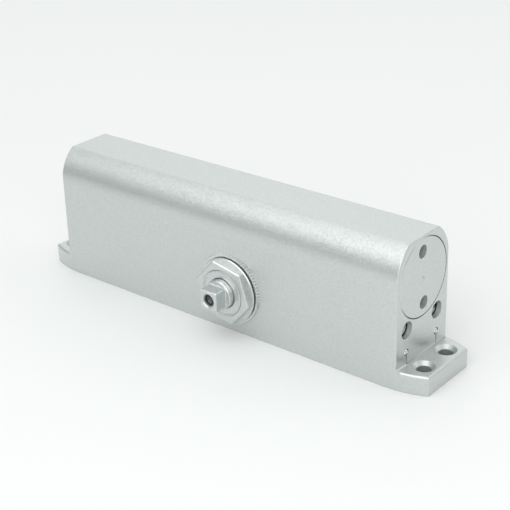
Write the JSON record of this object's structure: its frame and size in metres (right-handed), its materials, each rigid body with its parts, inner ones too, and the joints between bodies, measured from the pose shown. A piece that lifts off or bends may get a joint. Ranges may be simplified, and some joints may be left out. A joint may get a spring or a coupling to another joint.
{
  "type": "hydraulic door closer",
  "caption": "Surface-mounted hydraulic door closer: silver body with mounting lugs, round end plugs, regulating valves and a square-ended rack-and-pinion shaft.",
  "frame": {"origin": "centre of the mounting face, midway between the four screw holes", "axes": "+X along the body towards the end with the regulating valves, +Y across the body, +Z out of the mounting face"},
  "size_m": [0.245, 0.0764, 0.0704],
  "materials": {
    "silver_paint": "fine silver metallic paint over aluminium, semi-gloss",
    "gland_paint": "fine metallic paint over a turned steel nut",
    "shaft_paint": "thin metallic paint over turned and milled steel",
    "black_rubber": "matt nitrile rubber",
    "ground_steel": "ground bearing steel",
    "turned_steel": "turned steel, oiled",
    "spring_steel": "dark oil-tempered spring wire",
    "bronze": "plain bronze",
    "bright_ball": "polished steel ball"
  },
  "bodies": {
    "housing": {"housing": "silver_paint", "end_plug_right": "silver_paint", "end_plug_left": "silver_paint", "plug_ring_right": "black_rubber", "plug_ring_left": "black_rubber", "gland_nut_front": "gland_paint", "gland_nut_rear": "gland_paint", "gland_washer_front": "gland_paint", "gland_washer_rear": "gland_paint", "gland_ring_front": "black_rubber", "gland_ring_rear": "black_rubber", "seal_bush_front": "gland_paint", "seal_bush_rear": "gland_paint", "shaft_seal_front": "black_rubber", "shaft_seal_rear": "black_rubber", "bearing_shell_front": "ground_steel", "bearing_shell_rear": "ground_steel", "power_ring": "black_rubber", "gallery_balls": "bright_ball"},
    "pinion": {"pinion_shaft": "shaft_paint", "thrust_washer_front": "bronze", "thrust_washer_rear": "bronze"},
    "needle_set_front": {"needles_front": "ground_steel"},
    "needle_set_rear": {"needles_rear": "ground_steel"},
    "piston": {"piston": "turned_steel", "valve_cage": "bronze", "check_spring": "spring_steel"},
    "check_ball": {"check_ball": "bright_ball"},
    "spring_seat": {"spring_seat": "turned_steel", "main_spring_outer": "spring_steel", "main_spring_inner": "spring_steel"},
    "power_screw": {"power_screw": "shaft_paint"},
    "closing_valve": {"closing_valve": "shaft_paint", "closing_valve_ring": "black_rubber"},
    "latch_valve": {"latch_valve": "shaft_paint", "latch_valve_ring": "black_rubber"}
  },
  "joints": [
    {"name": "pinion_turn", "type": "hinge", "parent": "housing", "child": "pinion", "pos_m": [0.0097, 0, 0.0232], "axis": [0, -1, 0], "range_deg": [0, 180], "stiffness_Nm_per_rad": 7.4, "springref_deg": -114.59},
    {"name": "piston_slide", "type": "slide", "parent": "housing", "child": "piston", "axis": [-1, 0, 0], "range_m": [0, 0.0315], "deforming": ["main_spring_outer", "main_spring_inner"]},
    {"name": "needles_front_orbit", "type": "hinge", "parent": "housing", "child": "needle_set_front", "pos_m": [0.0097, -0.0175, 0.0232], "axis": [0, -1, 0], "range_deg": [0, 81]},
    {"name": "needles_rear_orbit", "type": "hinge", "parent": "housing", "child": "needle_set_rear", "pos_m": [0.0097, 0.0175, 0.0232], "axis": [0, -1, 0], "range_deg": [0, 81]},
    {"name": "check_ball_lift", "type": "slide", "parent": "piston", "child": "check_ball", "axis": [1, 0, 0], "range_m": [0, 0.0008], "stiffness_N_per_m": 300, "springref_m": -0.002, "deforming": ["check_spring"]},
    {"name": "power_screw_turn", "type": "hinge", "parent": "housing", "child": "power_screw", "pos_m": [-0.1, 0, 0.0493], "axis": [-1, 0, 0], "range_deg": [0, 1810]},
    {"name": "spring_seat_slide", "type": "slide", "parent": "housing", "child": "spring_seat", "axis": [1, 0, 0], "range_m": [0, 0.0075], "deforming": ["main_spring_outer", "main_spring_inner"]},
    {"name": "closing_valve_turn", "type": "hinge", "parent": "housing", "child": "closing_valve", "pos_m": [0.1, -0.0127, 0.0274], "axis": [1, 0, 0], "range_deg": [-360, 360]},
    {"name": "latch_valve_turn", "type": "hinge", "parent": "housing", "child": "latch_valve", "pos_m": [0.1, 0.0127, 0.0274], "axis": [1, 0, 0], "range_deg": [-360, 360]}
  ],
  "couplings": [
    {"joint": "piston_slide", "follows": "pinion_turn", "m_per_rad": 0.01},
    {"joint": "needles_front_orbit", "follows": "pinion_turn", "ratio": 0.4472},
    {"joint": "needles_rear_orbit", "follows": "pinion_turn", "ratio": 0.4472},
    {"joint": "power_screw_turn", "follows": "spring_seat_slide", "rad_per_m": 4188.8}
  ]
}
